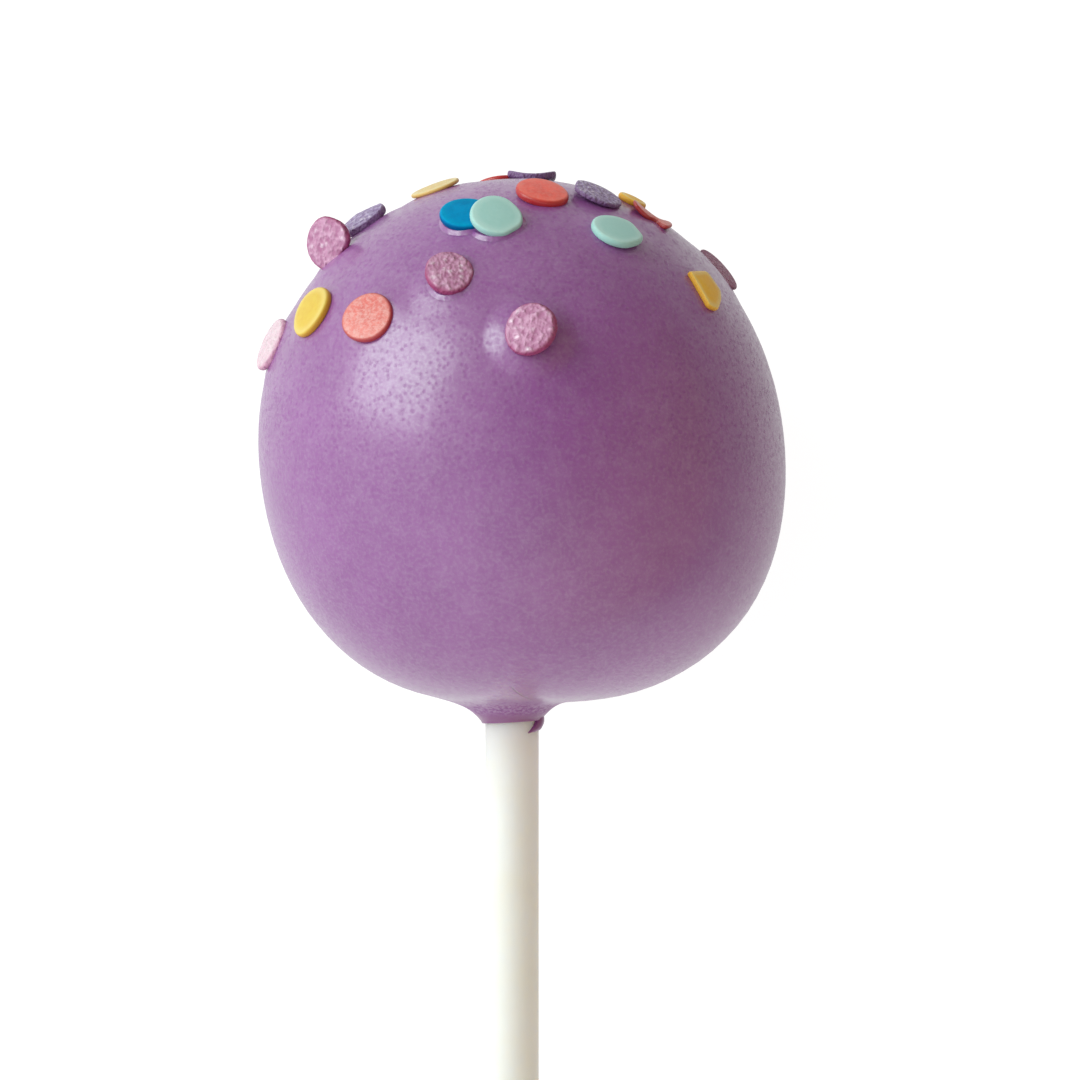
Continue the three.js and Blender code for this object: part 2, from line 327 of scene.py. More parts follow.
@dataclass(frozen=True)
class CoatingFinish:
    """Satin purple candy coating, finely pitted, a little translucent, and dusted where it is thin.

    A span holds the levels on the pop's axis between which something comes or goes. The crease is
    an arc: its middle is a place right and up, its start and end are fades to the right, and its
    top is a fade over the middle. Its colour has painted shade in the pits and in the crease, partly
    painted shade on the lip, and a painted highlight along the top of the fold.
    """

    purple: Colour = linear(152, 84, 157)
    deep: Colour = linear(129, 62, 133)
    # The pale dust's colour, which also paints the highlight along the fold.
    dust_and_fold_highlight: Colour = linear(184, 156, 188)
    # The lip's deeper purple is partly the coating's own colour where it thins and partly painted shade under
    # the collar.
    lip: Colour = linear(132, 58, 122)
    # Dark specks where the coating is dry, and the painted shade of the crease.
    speck_and_crease_shade: Colour = linear(92, 44, 92)
    roughness: float = 0.4
    gloss_roughness: float = 0.25
    cloud_size: float = 6.0
    patch_size: float = 1.3
    grain_size: float = 0.26
    grain_depth: float = 0.008
    peel_size: float = 1.6
    peel_depth: float = 0.03
    pit_spacing: float = 0.46
    pit_depth: float = 0.012
    drained_span: Pair = (-7.0, 2.0)
    # Where the painted highlight along the fold rises, peaks and falls.
    fold_highlight_span: Triple = (-19.9, -19.2, -18.6)
    collar_span: Pair = (-19.75, -19.05)
    lip_span: Pair = (-20.6, -20.05)
    crease_middle: Pair = (2.18, -16.36)
    crease_radius: float = 2.8
    crease_width: float = 0.09
    crease_depth: float = 0.03
    crease_start: Pair = (-0.1, 0.1)
    crease_end: Pair = (0.8, 1.7)
    crease_top: Pair = (-1.2, -1.0)

    def crease(self, graph: Surface, place: Flow) -> Flow:
        """Mark the hairline crease above the collar, on the side that faces the viewer.

        Args:
            graph: The material's nodes.
            place: The place on the coating.

        Returns:
            1 in the crease and 0 beside it.
        """
        right, up, near = (graph.part(place, axis) for axis in "XYZ")
        aside, above = right - self.crease_middle[0], up - self.crease_middle[1]
        beyond = (aside * aside + above * above) ** 0.5 - self.crease_radius
        in_line = beyond.between(-self.crease_width, 0) * (1 - beyond.between(0, self.crease_width))
        in_arc = right.between(*self.crease_start) * (1 - right.between(*self.crease_end))
        return in_line * in_arc * (1 - above.between(*self.crease_top)) * near.between(0.0, 1.0)

    def make(self, pose: LyingPose) -> Material:
        """Make the material.

        Args:
            pose: How the pop lies.

        Returns:
            The finished material.
        """
        graph = Surface("purple_coating")
        place = graph.millimetres(pose)
        clouds = graph.noise(place, self.cloud_size)
        patches = graph.noise(place, self.patch_size)
        grain = graph.noise(place, self.grain_size, roughness=0.6)
        axis_level = graph.part(place, "Y")
        drained = axis_level.between(*self.drained_span) * 0.7 + 0.3
        uneven = (patches.between(0.3, 0.5) * 0.4 + 0.6) * drained
        dips = (1 - graph.cells(place, self.pit_spacing).between(0.12, 0.52)) * uneven
        level = axis_level + (patches - 0.5) * 0.4
        in_lip = 1 - level.between(*self.lip_span)
        dry = (1 - level.between(*self.collar_span)) * (1 - in_lip)
        under, fold, over = self.fold_highlight_span
        at_fold_highlight = level.between(under, fold) * (1 - level.between(fold, over))
        creased = self.crease(graph, place)
        colour = graph.layered(
            self.purple,
            (clouds.between(0.3, 0.7) * 0.3, self.deep),
            (patches.between(0.4, 0.75) * 0.1, self.dust_and_fold_highlight),
            (grain.between(0.42, 0.72) * 0.15, self.dust_and_fold_highlight),
            # Painted shade in the pits: the dips darken the colour a little.
            (dips * 0.1, self.deep),
            (dry * 0.15, self.deep),
            (dry * grain.between(0.38, 0.68) * 0.45, self.dust_and_fold_highlight),
            (dry * grain.between(0.5, 0.3) * 0.35, self.speck_and_crease_shade),
            # Painted shade, with the coating's own deeper colour, on the lip under the collar.
            (in_lip * 0.85, self.lip),
            # Painted highlight along the top of the fold, laid in the dust's pale colour and broken by the
            # grain.
            (at_fold_highlight * grain.between(0.25, 0.55) * 0.6, self.dust_and_fold_highlight),
            # Painted shade in the crease: its line darkens the colour.
            (creased * 0.6, self.speck_and_crease_shade),
        )
        peel = graph.bump(graph.noise(place, self.peel_size), self.peel_depth)
        fine = graph.bump(grain, self.grain_depth, Normal=peel)
        pitted = graph.bump(1 - dips, self.pit_depth, Normal=fine)
        graph.dress(
            Base_Color=colour,
            Roughness=self.roughness + (patches - 0.5) * 0.15 + dry * 0.15,
            Normal=graph.bump(1 - creased, self.crease_depth, Normal=pitted),
            Subsurface_Weight=0.12,
            Subsurface_Radius=(1.0, 0.5, 0.9),
            Subsurface_Scale=0.5 * MM,
            IOR=1.5,
            Coat_Weight=(1 - dips * 0.7) * (grain.between(0.3, 0.6) * 0.4 + 0.6) * (1 - dry * 0.6),
            Coat_Roughness=self.gloss_roughness,
            Coat_IOR=1.7,
        )
        return graph.material


@dataclass(frozen=True)
class PressedSugarFinish:
    """Smooth pressed sugar, with a powdery face, a rim painted paler as a highlight and an edge painted
    darker as shade.
    """

    name: str
    dye: Colour
    # The edge's colour, painted on the wall as shade, and also the tone of the face's blotches.
    edge: Colour
    # The pale dust's colour, also painted round the rim as a highlight.
    rim: Colour
    powder: float = 0.1
    powder_size: float = 0.3
    roughness: float = 0.4
    gloss: float = 0.28
    # How much of the painted rim highlight shows.
    rim_highlight_share: float = 0.4
    edge_start: float = 1.15
    grit: float = 0.008
    blotch_size: float = 0.8
    rounding: float = 0.27
    corner: float = 0.85
    dome: float = 0.08

    def make(self, pose: LyingPose) -> Material:
        """Make the material.

        Args:
            pose: How the pop lies.

        Returns:
            The finished material.
        """
        graph = Surface(self.name)
        place = graph.millimetres(pose)
        sweep = graph.sweep()
        blotches = graph.noise(place, self.blotch_size)
        dust = graph.noise(place, self.powder_size, roughness=0.7)
        at_rim_highlight = sweep.between(0.7, 1.05) * (1 - sweep.between(1.1, 1.35))
        at_edge = sweep.between(self.edge_start, self.edge_start + 0.35)
        graph.dress(
            Base_Color=graph.layered(
                self.dye,
                (blotches.between(0.35, 0.7) * 0.3, self.edge),
                (dust.between(0.35, 0.7) * self.powder, self.rim),
                # Painted highlight round the rim.
                (at_rim_highlight * self.rim_highlight_share, self.rim),
                # Painted shade on the wall.
                (at_edge, self.edge),
            ),
            Roughness=self.roughness + (dust - 0.5) * 0.2,
            Specular_IOR_Level=self.gloss,
            Normal=graph.bump(dust, self.grit),
            Subsurface_Weight=0.1,
            Subsurface_Radius=(1.0, 0.6, 0.5),
            Subsurface_Scale=0.25 * MM,
        )
        return graph.material


@dataclass(frozen=True)
class CrystalSugarFinish:
    """Crinkled sugar crystals with a pearly dust, whose crystals glint one by one with a real gloss and a
    painted highlight in the colour, and an edge painted darker as shade.
    """

    name: str
    pale: Colour
    deep: Colour
    # The colour painted on the wall as shade.
    edge: Colour
    # The painted highlight's colour on single glinting crystals.
    glint: Colour = linear(246, 226, 240)
    wrinkle: Triple = (1.3, 1.0, 1.1)
    fold_depth: float = 0.09
    knob_depth: float = 0.06
    fine_size: float = 0.14
    fine_depth: float = 0.008
    # How much of the painted glint shows.
    painted_glint_share: float = 0.4
    crystal: float = 0.4
    pearl: float = 0.1
    sparkle: float = 0.8
    relief: float = 0.14
    edge_relief: float = 0.5
    rounding: float = 0.32
    corner: float = 0.9
    dome: float = 0.1

    def make(self, pose: LyingPose) -> Material:
        """Make the material.

        Args:
            pose: How the pop lies.

        Returns:
            The finished material.
        """
        graph = Surface(self.name)
        place = graph.millimetres(pose)
        sweep = graph.sweep()
        tint = graph.part(graph.cells(place, self.crystal, out="Color"), "X")
        stretched = graph.vector("MULTIPLY", place, self.wrinkle)
        folds = graph.noise(stretched, self.crystal * 1.3, detail=1.0).between(0.28, 0.72)
        knobs = 1 - graph.cells(place, self.crystal, feature="SMOOTH_F1").between(0.05, 0.6)
        fine = graph.noise(place, self.fine_size)
        at_edge = sweep.between(1.0, 1.4)
        glints = tint.between(0.76, 0.88) * knobs * (1 - at_edge)
        folded = graph.bump(folds, self.fold_depth)
        knobbed = graph.bump(knobs, self.knob_depth, Normal=folded)
        graph.dress(
            Base_Color=graph.layered(
                self.deep,
                (folds * 0.65 + knobs * 0.35, self.pale),
                # Painted highlight on single crystals, beside their real pearl and coat.
                (glints * self.painted_glint_share, self.glint),
                # Painted shade on the wall.
                (at_edge, self.edge),
            ),
            Roughness=0.55 - knobs * 0.2,
            Normal=graph.bump(fine, self.fine_depth, Normal=knobbed),
            Metallic=glints * self.pearl,
            Subsurface_Weight=0.1,
            Subsurface_Radius=(1.0, 0.6, 0.8),
            Subsurface_Scale=0.3 * MM,
            Coat_Weight=glints * self.sparkle,
            Coat_Roughness=0.15,
        )
        return graph.material


@dataclass(frozen=True)
class PaperFinish:
    """Tightly rolled white paper, smooth, with fibres along it and the roll's layers at its ends."""

    white: Colour = linear(242, 240, 238)
    shade: Colour = linear(240, 235, 226)
    cut: Colour = linear(170, 152, 126)
    layer: float = 0.12
    layer_depth: float = 0.05
    end_span: Pair = (0.01, 0.1)
    fibre_size: float = 0.16
    fibre_depth: float = 0.008
    cloud_size: float = 5.0

    def make(self, pose: LyingPose) -> Material:
        """Make the material.

        Args:
            pose: How the pop lies.

        Returns:
            The finished material.
        """
        graph = Surface("rolled_paper")
        place = graph.millimetres(pose)
        along = graph.vector("MULTIPLY", place, (1.0, 0.08, 1.0))
        fibres = graph.noise(along, self.fibre_size, detail=3.0, roughness=0.6)
        clouds = graph.noise(place, self.cloud_size)
        flat = graph.vector("MULTIPLY", place, (1.0, 0.0, 1.0))
        reach = graph.vector("LENGTH", flat, out="Value")
        rolled = graph.node("ShaderNodeMath", {"operation": "PINGPONG"}, reach, self.layer)
        up_layer = rolled * (1 / self.layer)
        from_end = graph.part(place, "Y") - pose.stick.end_level
        at_end = 1 - from_end.between(*self.end_span)
        colour = graph.layered(
            self.white,
            (clouds.between(0.3, 0.7) * 0.5 + fibres * 0.2, self.shade),
            (at_end * (1 - up_layer) * 0.5, self.cut),
        )
        fibrous = graph.bump(fibres, self.fibre_depth)
        graph.dress(
            Base_Color=colour,
            Roughness=0.62 + (fibres - 0.5) * 0.2,
            Normal=graph.bump(at_end * up_layer, self.layer_depth, Normal=fibrous),
            Subsurface_Weight=1.0,
            Subsurface_Radius=(1.0, 0.94, 0.84),
            Subsurface_Scale=2.6 * MM,
        )
        return graph.material


@dataclass(frozen=True)
class TableFinish:
    """A white light table: the camera sees it blown out, and it lights the pop, most from the left."""

    white: Colour = (0.25, 0.25, 0.25)
    seen_glow: Colour = (0.9, 0.9, 0.9)
    bright_glow: Colour = (0.64, 0.65, 0.66)
    dim_glow: Colour = (0.18, 0.18, 0.18)
    bright_side: Triple = (-0.8, -0.6, 0.0)
    ball_at: Triple = (0.0, 0.063, 0.0)
    dim_at: float = -0.12
    bright_at: float = 0.015

    def make(self) -> Material:
        """Make the material.

        Returns:
            The finished material.
        """
        graph = Surface("light_table")
        from_ball = graph.vector("SUBTRACT", graph.metres(), self.ball_at)
        along = graph.vector("DOT_PRODUCT", from_ball, self.bright_side, out="Value")
        to_pop = graph.mixed(along.between(self.dim_at, self.bright_at), self.dim_glow, self.bright_glow)
        to_camera = graph.node("ShaderNodeLightPath", {}, out="Is Camera Ray")
        graph.dress(
            Base_Color=self.white,
            Roughness=0.8,
            Specular_IOR_Level=0.0,
            Emission_Color=graph.mixed(to_camera, to_pop, self.seen_glow),
            Emission_Strength=1.0,
        )
        return graph.material


class Dye(Enum):
    """The confetti's colours, each with its own finish. Three are copies of another colour, made for the
    light or shade on their pieces.
    """

    YELLOW = PressedSugarFinish(
        "yellow_sugar", linear(228, 192, 74), linear(216, 160, 52), linear(244, 222, 150)
    )
    DUSTED_YELLOW = PressedSugarFinish(
        "dusted_yellow_sugar", linear(234, 202, 130), linear(222, 178, 104), linear(246, 230, 196),
        powder=0.3
    )
    # Yellow again, more orange, for the two pieces on the shaded right: a copy coloured for the shade there.
    GOLD = PressedSugarFinish(
        "gold_sugar", linear(252, 194, 48), linear(234, 172, 60), linear(252, 228, 160), rim_highlight_share=0.6
    )
    CORAL = PressedSugarFinish(
        "coral_sugar", linear(254, 86, 66), linear(196, 40, 42), linear(248, 164, 150), powder=0.3,
        powder_size=0.26, roughness=0.36, gloss=0.7, rim_highlight_share=0.15, edge_start=1.0, grit=0.02
    )
    # Coral with a paler, dustier face, for the left piece that the window light sheens: partly dust, partly
    # painted sheen. The ribbon uses it too.
    DUSTED_CORAL = PressedSugarFinish(
        "dusted_coral_sugar", linear(228, 94, 86), linear(182, 50, 54), linear(240, 190, 184), powder=0.5,
        powder_size=0.26, roughness=0.36, gloss=0.8, rim_highlight_share=0.15, edge_start=1.0, grit=0.03
    )
    MINT = PressedSugarFinish(
        "mint_sugar", linear(170, 214, 210), linear(168, 214, 208), linear(210, 238, 234), roughness=0.45
    )
    BLUE = PressedSugarFinish(
        "blue_sugar", linear(0, 148, 204), linear(0, 92, 150), linear(0, 168, 210), powder=0.05,
        roughness=0.5, gloss=0.04
    )
    PINK = CrystalSugarFinish(
        "pink_crystals", linear(222, 170, 202), linear(178, 108, 150), linear(162, 64, 114), painted_glint_share=0.55
    )
    PALE_PINK = CrystalSugarFinish(
        "pale_pink_crystals", linear(238, 212, 222), linear(228, 192, 206), linear(212, 154, 182),
        relief=0.06
    )
    # Pink again, darker, for the piece seen edge-on on the shaded right: painted shade.
    MAROON = CrystalSugarFinish(
        "maroon_crystals", linear(178, 112, 148), linear(144, 76, 114), linear(132, 60, 98), painted_glint_share=0.0,
        crystal=0.25, sparkle=0.3, relief=0.03, rounding=0.14
    )
    VIOLET = CrystalSugarFinish(
        "violet_pearl", linear(190, 172, 208), linear(138, 108, 156), linear(130, 94, 142), painted_glint_share=0.6,
        crystal=0.3, pearl=0.3, relief=0.06, rounding=0.14
    )


@dataclass(frozen=True)
class Disc:
    """One piece of confetti, and where and how it sits on the ball.

    It lies at a latitude and longitude and its face looks to another. The coating has a mound
    under it, of which a share is raised, and its middle stands off that by the lift. The curl lifts
    two opposite rims, the twist turns one of them against the other, in degrees, and the pinch
    draws the sides in round a waist, which is a share of the radius to the right of the middle.
    The cuts break it off along straight lines: each is a bearing in its own plane, 0 to its right
    and 90 towards its near side, and the share of its radius that is left there. Worn says how
    softly the cuts begin, and creep how high and how far out the coating crept up the edge.
    """

    dye: Dye
    at: Pair
    faces: Pair
    lift: float = 0.1
    size: float = 1.0
    thickness: float = 0.6
    curl: float = 0.0
    twist: float = 0.0
    pinch: float = 0.0
    waist: float = 0.0
    cuts: tuple[Pair, ...] = ()
    worn: float = 0.1
    mound: float = 0.24
    raised: float = 0.5
    creep: Pair = (0.0, 0.0)
    wobble: Pair = (0.02, 0.012)
    pinch_reach: float = 0.3

    @property
    def outward(self) -> np.ndarray:
        """Give the direction from the ball's middle to the disc."""
        return direction(*self.at)

    @property
    def facing(self) -> np.ndarray:
        """Give the direction that the disc's face looks in."""
        return direction(*self.faces)

    def outline(self, out: float, height: float, around: int) -> np.ndarray:
        """Draw a ring of the disc, uneven and broken as it is but still flat.

        Args:
            out: The ring's distance from the disc's middle.
            height: The ring's height over the disc's middle plane.
            around: How many points it has.

        Returns:
            The points in the disc's own plane, which is X and Z.
        """
        angles = -np.linspace(0, 2 * math.pi, around, endpoint=False)
        oval, corners = self.wobble
        uneven = 1 + oval * np.cos(2 * angles + self.at[1]) + corners * np.cos(3 * angles - self.at[0])
        x, z = out * uneven * np.sin(angles), out * uneven * np.cos(angles)
        for bearing, share in self.cuts:
            aim = math.radians(bearing)
            over = x * math.cos(aim) + z * math.sin(aim) - share * out
            over = (over + np.hypot(over, self.worn)) / 2
            x, z = x - over * math.cos(aim), z - over * math.sin(aim)
        return np.stack([x, np.full_like(x, height), z], axis=1)

    def placed(self, ring: np.ndarray, radius: float, seat: np.ndarray) -> np.ndarray:
        """Curl, pinch and twist a flat ring, and put it in its place on the ball.

        Args:
            ring: The ring's points.
            radius: The disc's radius.
            seat: Where the disc's middle is.

        Returns:
            The points in the pop's own frame.
        """
        x, y, z = ring.T
        across = x / radius
        y = y + self.curl * across**2
        z = z * (1 - self.pinch * np.exp(-(((across - self.waist) / self.pinch_reach) ** 2)))
        turn = math.radians(self.twist) * across
        bent = np.stack([x, y * np.cos(turn) - z * np.sin(turn), y * np.sin(turn) + z * np.cos(turn)], axis=1)
        facing = Vector((0, 1, 0)).rotation_difference(Vector(self.facing)).to_matrix()
        return bent @ np.array(facing).T + seat


SEEN_DISCS = (
    Disc(Dye.BLUE, (55.9, -21.4), (54.4, -3), size=0.98, creep=(0.22, 0.3)),
    Disc(
        Dye.MINT, (53.4, -8.9), (38.5, 10), lift=0.5, size=0.955, cuts=((315, 0.95), (45, 0.95)),
        creep=(0.22, 0.3)
    ),
    Disc(Dye.CORAL, (66.2, 10.8), (61, 20), size=0.98),
    Disc(
        Dye.VIOLET, (81, 167), (83, 170), lift=0.02, size=0.98, thickness=0.5, curl=0.5,
        cuts=((0, 0.94), (180, 0.92))
    ),
    Disc(Dye.CORAL, (76.8, -157), (75, -150), lift=0.05, size=0.85, thickness=0.5),
    Disc(Dye.DUSTED_YELLOW, (70.9, -83), (68, -66), size=0.94, thickness=0.35),
    Disc(Dye.VIOLET, (54.2, -86.5), (52.8, -62.5), lift=0.38, size=0.92, cuts=((-60, 0.8),)),
    Disc(
        Dye.PINK, (44.7, -76), (0, -41), lift=0.74, size=1.04, cuts=((80, 0.8), (329, 0.93)), worn=0.25,
        mound=0.4
    ),
    Disc(Dye.YELLOW, (28.1, -61.9), (27, -59), curl=-0.1),
    Disc(Dye.DUSTED_CORAL, (26.3, -39.3), (26, -27)),
    Disc(Dye.PALE_PINK, (20.8, -84), (23, -72), lift=0.05, size=1.02),
    Disc(Dye.PINK, (37.1, -19.5), (35, 4), lift=0.2, size=0.9, thickness=0.75, creep=(0.13, 0.38)),
    Disc(Dye.PINK, (22.4, 2.1), (17, -21), lift=0.6, size=0.98, thickness=0.9, mound=0.5, raised=1.0),
    Disc(Dye.VIOLET, (66.2, 43.7), (61, 54), lift=0.15, thickness=0.35, cuts=((180, 0.85),)),
    Disc(Dye.GOLD, (64.1, 72), (62, 68), size=0.54, thickness=0.5),
    Disc(
        Dye.DUSTED_CORAL, (57.2, 64), (54, 70), lift=-0.03, size=0.85, thickness=0.35, curl=0.3, twist=4,
        pinch=0.65, waist=0.25, cuts=((90, 0.55), (270, 0.55))
    ),
    Disc(Dye.MINT, (50.3, 33.8), (54.5, 31), size=0.97, cuts=((-35, 0.92), (38, 0.94))),
    Disc(
        Dye.GOLD, (34.4, 57.2), (33, 56), lift=0.02, size=0.96, thickness=0.45,
        cuts=((211, 0.79), (291.5, 0.86), (338.6, 0.8), (357.6, 0.79), (122.8, 0.56))
    ),
    Disc(Dye.MAROON, (41, 90), (40, 71), lift=-0.08, size=0.96, thickness=0.3),
)


@dataclass(frozen=True)
class BackSpread:
    """The rule that spreads the confetti evenly over the back of the ball's cap."""

    count: int = 13
    longitudes: Pair = (128, 238)
    latitudes: Pair = (27, 64)
    steps: Pair = (0.7548776662, 0.569840291)
    lean_steps: Pair = (0.6180339887, 0.3819660113)
    lean: float = 13.0
    dyes: tuple[Dye, ...] = (Dye.PINK, Dye.YELLOW, Dye.VIOLET, Dye.CORAL, Dye.MINT, Dye.PINK, Dye.BLUE)

    @staticmethod
    def share(number: int, step: float) -> float:
        """Give a piece's place, from 0 to 1, in an evenly filling sequence."""
        return (0.5 + number * step) % 1

    def discs(self) -> list[Disc]:
        """Lay out the pieces.

        Returns:
            The pieces on the back.
        """
        low, high = (math.sin(math.radians(latitude)) for latitude in self.latitudes)
        laid = []
        for number in range(self.count):
            height = low + (high - low) * self.share(number, self.steps[1])
            latitude = math.degrees(math.asin(height))
            west, east = self.longitudes
            longitude = west + (east - west) * self.share(number, self.steps[0])
            up, right = (self.lean * (2 * self.share(number, step) - 1) for step in self.lean_steps)
            dye = self.dyes[number % len(self.dyes)]
            laid.append(Disc(dye, at=(latitude, longitude), faces=(latitude + up, longitude + right)))
        return laid


@dataclass(frozen=True)
class StickSizes:
    """The paper stick's sizes."""

    length: float = 150.0
    radius: float = 2.0
    top_level: float = -2.0
    chamfer: float = 0.15

    @property
    def end_level(self) -> float:
        """Give the level of the stick's far end on the pop's axis."""
        return self.top_level - self.length

    @property
    def middle_level(self) -> float:
        """Give the level of the stick's middle on the pop's axis."""
        return self.top_level - self.length / 2


@dataclass(frozen=True)
class LyingPose:
    """How the pop lies, on the flat spot of its ball and the end of its stick."""

    stick: StickSizes = StickSizes()
    rest_depth: float = 19.15

    @property
    def dip(self) -> float:
        """Find how steeply the stick dips from the ball to its end.

        Returns:
            The angle, in radians.
        """
        reach = self.stick.length - self.stick.top_level - self.stick.chamfer
        slant = math.hypot(reach, self.stick.radius)
        return math.asin(self.rest_depth / slant) - math.atan2(self.stick.radius, reach)

    @property
    def up(self) -> np.ndarray:
        """Give the way up from the table, in the pop's own frame."""
        return np.array([0.0, math.sin(self.dip), math.cos(self.dip)])

    def matrix(self) -> Matrix:
        """Find what lays the pop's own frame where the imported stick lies.

        Returns:
            The turn and the move, in metres.
        """
        turn = Matrix.Rotation(self.dip, 4, "X")
        low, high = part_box("stick")
        middle = turn @ Vector((0, self.stick.middle_level * MM, 0))
        return Matrix.Translation((low + high) / 2 - middle) @ turn

    def lay(self, piece: Object, material: Material) -> None:
        """Dress a piece, put it in its place and let it ride on the pop.

        Args:
            piece: A piece drawn in the pop's own frame.
            material: What it is made of.
        """
        piece.data.materials.append(material)
        piece.data.transform(self.matrix())
        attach(piece, BODY)

    def pressed(self, points: np.ndarray) -> np.ndarray:
        """Press points that would be under the table flat on to it, in the pop's own frame."""
        under = np.minimum(points @ self.up + self.rest_depth, 0)
        return points - under[..., None] * self.up


@dataclass(frozen=True)
class CakeForm:
    """The ball's form: widest low down, where the cake has slumped into a shoulder."""

    radius: float = 18.92
    off_axis: float = 0.74
    lean_right: float = -0.157
    lean_up: float = 0.43
    shoulder_height: float = 2.195
    shoulder_latitude: float = -50.0
    shoulder_reach: float = 38.8
    shoulder_more_right: float = 0.546
    shoulder_higher_right: float = 3.6
    flank_at: Pair = (16.0, -90.0)
    flank_height: float = 0.303
    flank_reach: float = 29.8
    unevenness: float = 0.04
    unevenness_length: float = 9.0
    peel: float = 0.016
    peel_length: float = 1.5
    mound_top: float = 1.5
    mound_foot: float = 3.6
    disc_radius: float = 2.0

    @property
    def centre(self) -> np.ndarray:
        """Give the ball's middle, which is a little right of the stick's axis."""
        return np.array([self.off_axis, 0.0, 0.0])

    def cake_radii(self, towards: np.ndarray) -> np.ndarray:
        """Find the ball's radius before the confetti's mounds.

        Args:
            towards: Unit vectors.

        Returns:
            The radius in each direction.
        """
        latitude = np.degrees(np.arcsin(np.clip(towards[..., 1], -1, 1)))
        right, up = towards[..., 0], towards[..., 1]
        shoulder = self.shoulder_height + self.shoulder_more_right * right
        from_shoulder = latitude - (self.shoulder_latitude + self.shoulder_higher_right * right)
        from_flank = np.degrees(np.arccos(np.clip(towards @ direction(*self.flank_at), -1, 1)))
        return (
            self.radius
            + self.lean_right * right
            + self.lean_up * up
            + shoulder * np.exp(-((from_shoulder / self.shoulder_reach) ** 2))
            + self.flank_height * np.exp(-((from_flank / self.flank_reach) ** 2))
        )

    def seat(self, disc: Disc) -> np.ndarray:
        """Find the middle of a disc that lies on the ball."""
        height = float(self.cake_radii(disc.outward)) + disc.mound + disc.lift
        return self.centre + disc.outward * height

    def radii(self, towards: np.ndarray, discs: list[Disc]) -> np.ndarray:
        """Find the coating's radius, with a mound at each piece of confetti.

        Args:
            towards: Unit vectors.
            discs: The confetti.

        Returns:
            The radius in each direction.
        """
        cake = self.cake_radii(towards)
        rise = np.zeros_like(cake)
        for disc in discs:
            away = cake * np.arccos(np.clip(towards @ disc.outward, -1, 1))
            mound = disc.raised * disc.mound * fade(away, self.mound_top, self.mound_foot)
            rise = np.maximum(rise, mound)
        places = towards * self.radius
        swell = self.unevenness * ripple(places, self.unevenness_length, seed=3)
        return cake + rise + swell + self.peel * ripple(places, self.peel_length, seed=5, waves=30)


@dataclass(frozen=True)
class Collar:
    """The flared collar where the coating runs on to the stick, wider on the left."""

    join_latitude: float = -75.0
    join_lean: float = -4.5
    lip_radius: float = 2.27
    lip_level: float = -20.72
    lip_lean: float = 0.15
    lip_roundness: float = 0.15
    lip_turn: float = 150.0
    lip_ripple: float = 0.05
    lip_ripple_length: float = 1.6
    slope: float = 52.0
    upper_pull: float = 1.5
    upper_lean: float = -0.9
    lower_pull: float = 1.25
    steps: int = 28
    edge_steps: int = 6


@dataclass(frozen=True)
class Fillet:
    """The rim of coating that crept up a disc's edge before it set.

    Its section runs from inside the disc's edge, at a depth under the coating, up and down over the
    slope, and on past its foot, where each step is a distance from the foot and a depth.
    """

    loose: Pair = (0.6, 1.2)
    concavity: float = 1.1
    around: int = 72
    inside: Pair = (-0.35, -0.12)
    inside_depth: float = 0.3
    past_foot: tuple[Pair, ...] = ((0.1, 0.03), (0.2, 0.2))
    steps: int = 8
    sunk: float = 0.004

    def section(self, width: float) -> np.ndarray:
        """Draw the slope, a width across, as distances from the disc's edge and shares of the rise."""
        out = np.linspace(0, 1, self.steps)
        return np.array([(self.inside[1], 1.0), *zip(width * out, (1 - out) ** self.concavity)])


